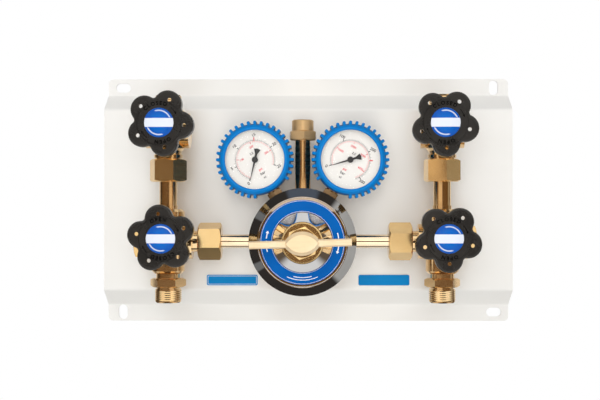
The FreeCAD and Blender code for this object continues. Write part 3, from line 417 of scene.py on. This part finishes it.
plastics = {name: plasticFinish(name, settings) for name, settings in plasticSettings.items()}

glassSettings = {
    "colour": (0.99, 0.99, 0.99), "index": 1.45, "alpha": 0.12,
    "smear": 0.04, "smearCells": (35, 35, 90), "smearFade": (0.4, 0.8),
}


def glassFinish(name, s):
    # clear window: a trace of smear in its gloss
    look = {"Base Color": rgba(s["colour"]), "IOR": s["index"], "Alpha": s["alpha"],
            "Transmission Weight": 1.0}
    material, tree, shader = startFinish(name, look)
    smear = grainField(tree, s["smearCells"], detail=4.0, distortion=0.6)
    tree.links.new(fade(tree, smear, *s["smearFade"], 0.0, s["smear"]), shader.inputs["Roughness"])
    return material


windowGlass = glassFinish("windowGlass", glassSettings)
print("finishes made")


# The CAD nodes keep their shape and get their finish here

nodeFinish = {
    "mounting_panel": "panelSteel", "panel_screws": "zincSteel", "panel_washers": "zincSteel",
    "union_nuts": "brassHex", "side_plugs": "brassHex", "gland_nuts": "brassHex",
    "regulator_body": "brassTurned", "nozzle": "brassTurned", "poppet": "brassTurned",
    "poppet_spring": "zincSteel", "range_spring": "zincSteel", "spring_button": "zincSteel",
    "diaphragm_plate": "zincSteel",
    "bonnet": "chromePlate", "bonnet_bush": "brassHex", "t_handle": "brassBar",
    "outlet_tube": "brassTurned", "outlet_coupling": "brassCoupling",
}
for side in ("left", "right"):
    nodeFinish[f"{side}_inlet_connector"] = "brassTurned"
    nodeFinish[f"{side}_riser_pipe"] = "brassTurned"
    nodeFinish[f"{side}_branch_pipe"] = "brassPipePaintedLight"
    nodeFinish[f"{side}_gauge_case"] = "zincSteel"
    nodeFinish[f"{side}_gauge_movement"] = "brassStemPaintedShade"
    for level in ("upper", "lower"):
        nodeFinish[f"{level}_{side}_valve_body"] = "brassTurned"
        nodeFinish[f"{level}_{side}_valve_plug"] = "brassTurned"
        nodeFinish[f"{level}_{side}_spindle"] = "zincSteel"
for node, finish in nodeFinish.items():
    dressed(nodes[node], metals[finish])

nodePlastic = {"diaphragm": "rubberDark", "bonnet_label": "labelBlue", "label_plates": "plateBlue"}
for side in ("left", "right"):
    nodePlastic[f"{side}_gauge_boot"] = "bootBlue"
    nodePlastic[f"{side}_gauge_dial"] = "dialWhite"
    nodePlastic[f"{side}_gauge_pointer"] = "inkBlack"
    for level in ("upper", "lower"):
        nodePlastic[f"{level}_{side}_handwheel"] = "wheelBlack"
for node, finish in nodePlastic.items():
    dressed(nodes[node], plastics[finish])
for side in ("left", "right"):
    dressed(nodes[f"{side}_gauge_window"], windowGlass)

for node in nodes.values():
    softShade(node)
print("finishes put on the nodes")


# Badges: a blue dome with a plain pale band across it and a thin arc above and below

badgeSettings = {
    "look": {"Roughness": 0.16, "Specular IOR Level": 0.15, "Coat Weight": 0.05, "Coat Roughness": 0.04},
    "blue": (0.0, 0.066, 0.34), "middleBlue": (0.0, 0.104, 0.43), "blueFade": (0.004, 0.013),
    "band": (0.62, 0.65, 0.72), "bandHalf": 0.0041, "edge": 0.0001,
    "arcInner": 0.0106, "arcOuter": 0.0118, "arcShare": 0.75, "arcSlope": 0.45, "arcFade": (0.0086, 0.0098),
    "waveCells": 160, "waveStrength": 0.1, "waveDepth": 0.00005,
}


def badgeFinish(name, place, s):
    # print under a clear dome, laid out from the badge's own middle
    material, tree, shader = startFinish(name, s["look"])
    coords = addNode(tree, "ShaderNodeTexCoord")
    inputs = {0: coords.outputs["Object"], 1: tuple(place.translation)}
    local = addNode(tree, "ShaderNodeVectorMath", inputs, operation="SUBTRACT")
    parts = addNode(tree, "ShaderNodeSeparateXYZ", {0: local.outputs[0]})
    x, z = parts.outputs["X"], parts.outputs["Z"]

    def beyond(value, limit):
        # zero below the limit and one above it
        return fade(tree, value, limit - s["edge"], limit + s["edge"])

    def within(value, limit):
        return sums(tree, "SUBTRACT", 1.0, beyond(value, limit))

    band = within(sums(tree, "ABSOLUTE", z), s["bandHalf"])
    radius = sums(tree, "SQRT", sums(tree, "ADD", sums(tree, "MULTIPLY", x, x), sums(tree, "MULTIPLY", z, z)))
    ring = sums(tree, "MULTIPLY", beyond(radius, s["arcInner"]), within(radius, s["arcOuter"]))
    slant = sums(tree, "ADD", z, sums(tree, "MULTIPLY", x, s["arcSlope"]))
    upperArc = fade(tree, slant, *s["arcFade"])
    lowerArc = fade(tree, sums(tree, "MULTIPLY", slant, -1.0), *s["arcFade"])
    arcs = sums(tree, "MULTIPLY", ring, sums(tree, "MAXIMUM", upperArc, lowerArc))
    colour = blendColour(tree, fade(tree, radius, *s["blueFade"]), rgba(s["middleBlue"]), rgba(s["blue"]))
    colour = blendColour(tree, sums(tree, "MULTIPLY", arcs, s["arcShare"]), colour, rgba(s["band"]))
    colour = blendColour(tree, band, colour, rgba(s["band"]))
    tree.links.new(colour, shader.inputs["Base Color"])
    wave = grainField(tree, (s["waveCells"],) * 3, detail=1.0)
    tree.links.new(bumpFrom(tree, wave, s["waveStrength"], s["waveDepth"]), shader.inputs["Normal"])
    return material


wheelPlace = {}
for side, x in layout["column"].items():
    for level, z in layout["spindle"].items():
        name = f"{level}_{side}"
        stand = facing(x, layout["columnOut"], z, layout["turn"].get(name, 0.0))
        wheelPlace[name] = stand @ Matrix.Translation((0, 0, layout["wheelFace"]))
        # the place now lies on the wheel's front face
        dressed(nodes[f"{name}_badge"], badgeFinish(f"{name}BadgePrint", wheelPlace[name], badgeSettings))
        softShade(nodes[f"{name}_badge"], degrees=60)
print("badges printed")


# Handwheels: raised words round the badge, on the ring between it and the lobes

letterSettings = {
    "radius": 0.0179, "size": 0.0048, "depth": 0.0007, "sink": 1.4, "weight": 0.00012, "spacing": 1.42,
    "closedAt": {"upper_left": 102.2, "upper_right": 92.4, "lower_right": 91.8, "lower_left": 277.0},
    "arrow": {"start": 50, "neck": 70, "tip": 77, "half": 0.0002, "headHalf": 0.0009, "low": -0.0003},
}


def wheelLetters(name, place, s):
    bm = bmesh.new()
    radius, high, arrow = s["radius"], s["depth"], s["arrow"]
    closedAt = s["closedAt"][name]
    raised = place @ Matrix.Translation((0, 0, high / 2))
    for words, at in (("CLOSED", closedAt), ("OPEN", closedAt + 180)):
        bentWord(bm, words, s["size"], high * s["sink"], radius, at, raised, s["weight"], s["spacing"])
    # a plain arrow after each word
    for at in (closedAt, closedAt + 180):
        start, neck, tip = at - arrow["start"], at - arrow["neck"], at - arrow["tip"]
        arcBand(bm, radius - arrow["half"], radius + arrow["half"], neck, start, arrow["low"], high, place,
                steps=10)
        back = [onRing(radius + d, neck) for d in (-arrow["headHalf"], arrow["headHalf"])]
        slab(bm, [onRing(radius, tip), back[1], back[0]], arrow["low"], high, place)
    letters = addObject(f"{name}WheelLetters", meshFrom(bm, f"{name}WheelLetters"), [plastics["letterBlack"]])
    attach(letters, f"{name}_wheel")
    return letters


for name, place in wheelPlace.items():
    wheelLetters(name, place, letterSettings)
print("handwheels lettered")


# Threads: ridges on the plain thread cylinders

threadSettings = {
    "pitch": 0.0020, "root": 0.01252, "crest": 0.01298, "sunk": 0.0004, "steps": 72, "runOut": 14,
    "footShare": 0.92, "crestShare": 0.22,
    "inlet": (-0.0998, -0.0870), "vent": (0.0900, 0.1008),
}


def threadRidge(name, x, start, end, s):
    # one helical ridge standing on an upright cylinder of a column, from start to end in height
    bm = bmesh.new()
    turns = (end - start) / s["pitch"] - 1
    total = int(turns * s["steps"])
    half = s["pitch"] / 2
    foot, top = half * s["footShare"], half * s["crestShare"]
    section = [(s["root"] - s["sunk"], -half), (s["root"], -foot), (s["crest"], -top),
               (s["crest"], top), (s["root"], foot), (s["root"] - s["sunk"], half)]
    rows = []
    for k in range(total + 1):
        a = 2 * math.pi * k / s["steps"]
        h = start + half + (end - start - s["pitch"]) * k / total
        # the ridge grows out of the cylinder at both its ends
        ease = min(1.0, k / s["runOut"], (total - k) / s["runOut"])
        row = []
        for r, d in section:
            reach = s["root"] - s["sunk"] + (r - s["root"] + s["sunk"]) * ease
            y = -layout["columnOut"] + reach * math.sin(a)
            row.append(bm.verts.new((x + reach * math.cos(a), y, h + d)))
        rows.append(row)
    for here, there in zip(rows, rows[1:]):
        for k in range(len(section)):
            m = (k + 1) % len(section)
            bm.faces.new((here[k], here[m], there[m], there[k]))
    bm.faces.new(rows[0][::-1])
    bm.faces.new(rows[-1])
    bmesh.ops.recalc_face_normals(bm, faces=bm.faces)
    ridge = addObject(name, meshFrom(bm, name), [metals["brassTurned"]])
    softShade(ridge, degrees=40)
    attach(ridge, "manifold")
    return ridge


for side, x in layout["column"].items():
    threadRidge(f"{side}InletThread", x, *threadSettings["inlet"], threadSettings)
    threadRidge(f"{side}VentThread", x, *threadSettings["vent"], threadSettings)
print("threads cut")


# Gauge dials: scales printed on the white faces

dialSettings = {
    "out": 0.0788, "ink": 0.00006, "sunk": 0.00005, "sweepStart": 225.0, "sweep": 270.0, "arcSteps": 90,
    "circle": 0.0187, "circleHalf": 0.00012,
    "numbers": {"radius": 0.0238, "size": 0.0040, "weight": 0.00009},
    "fineTick": {"in": 0.0, "out": 0.0010, "width": 0.00030},
    "wholeTick": {"in": 0.0, "out": 0.0015, "width": 0.00030},
    "labelTick": {"in": 0.0002, "out": 0.0022, "width": 0.0008},
    "markTick": {"in": 0.0004, "out": 0.0030, "width": 0.0010}, "markRise": 1.3,
    "innerCircle": 0.0166, "innerBand": (0.0011, 0.0013),
    "innerNumbers": {"radius": 0.0128, "size": 0.0029, "weight": 0.00006},
    "innerTick": {"in": 0.0, "out": 0.0012, "width": 0.00024},
    "innerLabelTick": {"in": 0.0010, "out": 0.0012, "width": 0.0006},
    "wordDepth": 0.0001, "wordOut": 0.00002, "plainWeight": 0.00007,
    "plainWords": [("bar", 0.0040, -0.0148, "black"), ("psi", 0.0034, -0.0106, "red"),
                   ("2.5", 0.0030, 0.0068, "black"), ("63", 0.0026, -0.0194, "black")],
    "left": {"top": 25.0, "labels": [0, 5, 10, 15, 20, 25], "minor": 0.5, "middle": 1.0, "mark": 15.0,
             "innerTop": 362.0, "innerLabels": [100, 200, 300], "innerMinor": 10.0},
    "right": {"top": 315.0, "labels": [0, 100, 200, 300], "minor": 5.0, "middle": 10.0, "mark": 230.0,
              "innerTop": 4568.0, "innerLabels": [1000, 2000, 3000, 4000], "innerMinor": 100.0},
}
gaugePlace = {}
for side, lean in layout["gaugeLean"].items():
    way = math.radians(90 + lean)
    middleX = layout["regulator"][0] + layout["gaugeReach"] * math.cos(way)
    middleZ = layout["regulator"][1] + layout["gaugeReach"] * math.sin(way)
    gaugePlace[side] = facing(middleX, dialSettings["out"], middleZ, 0.0, lean)


def dialPrint(side, place, s):
    scale = s[side]
    top, innerTop = scale["top"], scale["innerTop"]
    circle, innerCircle = s["circle"], s["innerCircle"]
    slots = {"black": 0, "red": 1}
    low, high = -s["sunk"], s["ink"]
    bm = bmesh.new()

    def at(value, full):
        return s["sweepStart"] - s["sweep"] * value / full

    def band(inner, outer, full, ink):
        end = at(full, full)
        arcBand(bm, inner, outer, end, s["sweepStart"], low, high, place, slots[ink], s["arcSteps"])

    def line(radius, angle, kind, ink, rise=1.0):
        tick(bm, radius - kind["in"], radius + kind["out"], angle, kind["width"], low, high * rise, place,
             slots[ink])

    def write(words, size, weight, x, y, ink):
        mesh = wordMesh(words, size, s["wordDepth"], weight)
        stamp(bm, mesh, place @ Matrix.Translation((x, y, s["wordOut"])), slots[ink])
        bpy.data.meshes.remove(mesh)

    def number(value, angle, kind, ink):
        x, y = onRing(kind["radius"], angle)
        write(str(value), kind["size"], kind["weight"], x, y, ink)

    band(circle - s["circleHalf"], circle + s["circleHalf"], top, "black")
    for i in range(round(top / scale["minor"]) + 1):
        value = i * scale["minor"]
        steps = value / scale["middle"]
        whole = abs(steps - round(steps)) < 0.01
        line(circle, at(value, top), s["wholeTick"] if whole else s["fineTick"], "black")
    for value in scale["labels"]:
        line(circle, at(value, top), s["labelTick"], "black")
        number(value, at(value, top), s["numbers"], "black")
    line(circle, at(scale["mark"], top), s["markTick"], "red", s["markRise"])
    # the inner scale, in red
    band(innerCircle + s["innerBand"][0], innerCircle + s["innerBand"][1], innerTop, "red")
    for i in range(int(innerTop / scale["innerMinor"]) + 1):
        line(innerCircle, at(i * scale["innerMinor"], innerTop), s["innerTick"], "red")
    for value in scale["innerLabels"]:
        line(innerCircle, at(value, innerTop), s["innerLabelTick"], "red")
        number(value, at(value, innerTop), s["innerNumbers"], "red")
    # units, the class of accuracy and the size as plain words
    for words, size, y, ink in s["plainWords"]:
        write(words, size, s["plainWeight"], 0.0, y, ink)
    inks = [plastics["inkBlack"], plastics["inkRed"]]
    printed = addObject(f"{side}DialPrint", meshFrom(bm, f"{side}DialPrint"), inks)
    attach(printed, "manifold")
    return printed


for side, place in gaugePlace.items():
    dialPrint(side, place, dialSettings)
print("dials printed")


# Ring label on the bonnet: two fine border lines and plain marks

ringSettings = {
    "out": 0.1025, "ink": 0.00008, "sunk": 0.00005, "step": 0.000005,
    "borders": (0.0292, 0.0392), "borderHalf": 0.00012, "borderSteps": 180,
    "marks": 0.03425, "arrowBand": (0.0338, 0.0347), "arrowReach": (6.0, 15.0),
    "headBack": 14.6, "headTip": 18.5, "headBand": (0.0326, 0.0359),
    "strokeLong": 0.0030, "strokeWide": 0.0008,
    "lines": ((0.0356, 24.0), (0.0332, 15.0)), "lineHalf": 0.0003,
}


def boxOutline(x, y, width, height):
    return [(x + i * width / 2, y + j * height / 2) for i, j in ((-1, -1), (1, -1), (1, 1), (-1, 1))]


def ringPrint(s):
    place = facing(layout["regulator"][0], s["out"], layout["regulator"][1])
    bm = bmesh.new()
    low, high = -s["sunk"], s["ink"]
    half = s["borderHalf"]
    for radius in s["borders"]:
        arcBand(bm, radius - half, radius + half, 0, 360, low, high, place, steps=s["borderSteps"])
    # turning marks: a plus and a minus, each between two curved arrows, and a pair of thin lines below
    low += 2 * s["step"]
    near, far = s["arrowReach"]
    long, wide = s["strokeLong"], s["strokeWide"]
    for middle, plus in ((180, True), (0, False)):
        for way in (-1, 1):
            arcBand(bm, *s["arrowBand"], middle + way * near, middle + way * far, low, high, place)
        point = onRing(s["marks"], middle - s["headTip"])
        back = [onRing(r, middle - s["headBack"]) for r in s["headBand"]]
        slab(bm, [point, back[1], back[0]], low, high, place)
        x, y = onRing(s["marks"], middle)
        slab(bm, boxOutline(x, y, long, wide), low, high, place)
        if plus:
            # the upright stroke lies a trace higher, so that the two don't share a face
            slab(bm, boxOutline(x, y, wide, long), low + s["step"], high + s["step"], place)
    half = s["lineHalf"]
    for radius, reach in s["lines"]:
        arcBand(bm, radius - half, radius + half, 270 - reach, 270 + reach, low, high, place)
    printed = addObject("ringLabelMarks", meshFrom(bm, "ringLabelMarks"), [plastics["inkWhite"]])
    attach(printed, "manifold")
    return printed


ringPrint(ringSettings)


# Small plates on the panel: the left one has a pale border line

plateSettings = {
    "x": -0.076, "z": -0.0806, "out": 0.0308, "ink": 0.00008, "sunk": 0.00005,
    "width": 0.0490, "height": 0.0085, "corner": 0.0011, "line": 0.00035,
}


def roundedOutline(width, height, corner, steps=5):
    points = []
    for quarter, (sx, sy) in enumerate(((1, 1), (-1, 1), (-1, -1), (1, -1))):
        for i in range(steps + 1):
            a = math.radians(90 * quarter + 90 * i / steps)
            points.append((sx * (width / 2 - corner) + corner * math.cos(a),
                           sy * (height / 2 - corner) + corner * math.sin(a)))
    return points


def plateBorder(s):
    place = facing(s["x"], s["out"], s["z"])
    low, high, line = -s["sunk"], s["ink"], s["line"]
    bm = bmesh.new()
    outer = roundedOutline(s["width"], s["height"], s["corner"])
    inner = roundedOutline(s["width"] - 2 * line, s["height"] - 2 * line, s["corner"] - line)
    rings = []
    for outline, level in ((outer, low), (outer, high), (inner, high), (inner, low)):
        rings.append([bm.verts.new(place @ Vector((x, y, level))) for x, y in outline])
    count = len(outer)
    for k in range(4):
        here, there = rings[k], rings[(k + 1) % 4]
        for i in range(count):
            j = (i + 1) % count
            bm.faces.new((here[i], here[j], there[j], there[i]))
    border = addObject("leftPlateBorder", meshFrom(bm, "leftPlateBorder"), [plastics["inkWhite"]])
    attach(border, "manifold")
    return border


plateBorder(plateSettings)
print("labels finished")


# Camera, at the photograph's place

cameraSettings = {
    "place": (0.00393, -1.2283, -0.00956), "tilt": math.pi / 2 + 0.0077, "turn": 0.01,
    "lens": 71.66, "sensor": 36.0,
}
cameraData = bpy.data.cameras.new("camera")
cameraData.lens = cameraSettings["lens"]
cameraData.sensor_width = cameraSettings["sensor"]
camera = bpy.data.objects.new("camera", cameraData)
camera.location = cameraSettings["place"]
camera.rotation_euler = (cameraSettings["tilt"], 0.0, cameraSettings["turn"])
scene.collection.objects.link(camera)
scene.camera = camera


# Studio: a pale floor, a white room, lamps in front, above and behind, and warm cards near the front

studioSettings = {
    "domeTop": (0.92, 0.92, 0.92), "domeBottom": (0.86, 0.86, 0.855), "domeFade": (-0.8, 0.8),
    "domeShade": 0.70, "domeShadeFade": (-0.95, -0.30),
    "bright": (1.20, 1.18, 1.13), "brightFade": (0.11, 0.17), "horizon": (0.13, 0.062, 0.014),
    "frontFade": (-0.22, -0.10), "dark": (0.035, 0.030, 0.026),
    "rightCard": (0.42, 0.41, 0.385), "rightFade": (0.60, 0.70),
    "leftCard": (0.17, 0.17, 0.165), "leftFade": (-0.84, -0.78),
    "leftHeight": 0.50, "leftHeightFade": (0.05, 0.09),
    "topCard": (0.09, 0.105, 0.13), "topFade": (0.93, 0.97),
    "backSide": (0.13, 0.095, 0.065), "backFade": (0.14, 0.24),
    "backLight": (0.80, 0.79, 0.77), "backLightFade": (0.55, 0.80),
    "lamps": [
        {"place": (-0.7, -1.5, 1.2), "size": 1.0, "power": 4.5},
        {"place": (-0.05, -1.8, 0.1), "size": 1.0, "power": 18.5},
        {"place": (0.5, 1.6, 0.9), "size": 1.0, "power": 16.0},
    ],
    "cards": [
        {"place": (0.0185, -0.215, 0.005), "width": 0.207, "height": 0.034},
        {"place": (0.0185, -0.215, -0.108), "width": 0.207, "height": 0.036},
        {"place": (-0.006, -0.215, 0.092), "width": 0.064, "height": 0.134},
    ],
    "cardGlow": 2.0, "cardColour": (1.0, 0.84, 0.66),
    "floorHeight": -0.42, "floorHalf": 1.3, "floorGlow": 0.65,
    "floorLook": {"Roughness": 0.9, "Specular IOR Level": 0.2},
    "floorColour": (0.86, 0.86, 0.855), "fibreColour": (0.90, 0.90, 0.895), "fibreCells": 30,
}


def studioWorld(s):
    # metal mirrors light from above and below in front, a dark horizon and grey cards at the sides;
    # dull surfaces are lit by a pale dome, brightest in front; the camera sees white
    world = bpy.data.worlds.new("studio")
    scene.world = world
    world.use_nodes = True
    tree = world.node_tree
    tree.nodes.clear()
    coords = addNode(tree, "ShaderNodeTexCoord")
    parts = addNode(tree, "ShaderNodeSeparateXYZ", {0: coords.outputs["Generated"]})
    x, y, z = parts.outputs
    black, white = (0.0, 0.0, 0.0, 1.0), (1.0, 1.0, 1.0, 1.0)
    height = sums(tree, "ABSOLUTE", z)
    bright = fade(tree, height, *s["brightFade"])
    ahead = blendColour(tree, bright, rgba(s["horizon"]), rgba(s["bright"]))
    sides = blendColour(tree, fade(tree, x, *s["rightFade"]), rgba(s["dark"]), rgba(s["rightCard"]))
    leftward = fade(tree, x, *s["leftFade"], 1.0, 0.0)
    offHeight = sums(tree, "ABSOLUTE", sums(tree, "SUBTRACT", height, s["leftHeight"]))
    card = sums(tree, "MULTIPLY", leftward, fade(tree, offHeight, *s["leftHeightFade"], 1.0, 0.0))
    sides = blendColour(tree, card, sides, rgba(s["leftCard"]))
    sides = blendColour(tree, fade(tree, z, *s["topFade"]), sides, rgba(s["topCard"]))
    lit = fade(tree, height, *s["backLightFade"])
    behind = blendColour(tree, lit, rgba(s["backSide"]), rgba(s["backLight"]))
    sides = blendColour(tree, fade(tree, y, *s["backFade"]), sides, behind)
    shown = blendColour(tree, fade(tree, y, *s["frontFade"], 1.0, 0.0), sides, ahead)
    dome = blendColour(tree, fade(tree, z, *s["domeFade"]), rgba(s["domeBottom"]), rgba(s["domeTop"]))
    dome = blendColour(tree, fade(tree, y, *s["domeShadeFade"], 0.0, s["domeShade"]), dome, black)
    rays = addNode(tree, "ShaderNodeLightPath")
    colour = blendColour(tree, rays.outputs["Is Glossy Ray"], dome, shown)
    colour = blendColour(tree, rays.outputs["Is Camera Ray"], colour, white)
    background = addNode(tree, "ShaderNodeBackground", {"Color": colour, "Strength": 1.0})
    addNode(tree, "ShaderNodeOutputWorld", {"Surface": background.outputs[0]})


def studioLamps(s):
    for number, lamp in enumerate(s["lamps"]):
        data = bpy.data.lights.new(f"lamp{number}", "AREA")
        data.shape = "DISK"
        data.size = lamp["size"]
        data.energy = lamp["power"]
        thing = bpy.data.objects.new(f"lamp{number}", data)
        thing.location = lamp["place"]
        thing.rotation_euler = (-Vector(lamp["place"])).to_track_quat("-Z", "Y").to_euler()
        thing.visible_camera = False
        thing.visible_glossy = False
        scene.collection.objects.link(thing)
    # warm cards close in front, which the pipes show as a soft upright light
    for number, card in enumerate(s["cards"]):
        data = bpy.data.lights.new(f"card{number}", "AREA")
        data.shape = "RECTANGLE"
        data.size, data.size_y = card["width"], card["height"]
        data.energy = card["width"] * card["height"] * s["cardGlow"]
        data.color = s["cardColour"]
        thing = bpy.data.objects.new(f"card{number}", data)
        thing.location = card["place"]
        thing.rotation_euler = (math.pi / 2, 0, 0)  # shining back at the panel
        thing.visible_camera = False
        scene.collection.objects.link(thing)


def studioFloor(s):
    material, tree, shader = startFinish("floorPaper", s["floorLook"])
    fibre = grainField(tree, (s["fibreCells"],) * 3, detail=4.0)
    colour = blendColour(tree, fibre, rgba(s["floorColour"]), rgba(s["fibreColour"]))
    tree.links.new(colour, shader.inputs["Base Color"])
    glow = addNode(tree, "ShaderNodeEmission", {"Color": (1.0, 1.0, 1.0, 1.0), "Strength": 1.0})
    rays = addNode(tree, "ShaderNodeLightPath")
    share = sums(tree, "MULTIPLY", rays.outputs["Is Camera Ray"], s["floorGlow"])
    mixed = addNode(tree, "ShaderNodeMixShader", {0: share, 1: shader.outputs[0], 2: glow.outputs[0]})
    tree.links.new(mixed.outputs[0], tree.nodes["Material Output"].inputs["Surface"])
    bm = bmesh.new()
    bmesh.ops.create_grid(bm, x_segments=4, y_segments=4, size=s["floorHalf"])
    floor = addObject("studioFloor", meshFrom(bm, "studioFloor"), [material])
    floor.location = (0, 0, s["floorHeight"])
    floor.visible_glossy = False


studioWorld(studioSettings)
studioLamps(studioSettings)
studioFloor(studioSettings)
scene.view_settings.view_transform = "Standard"
print("studio lit")
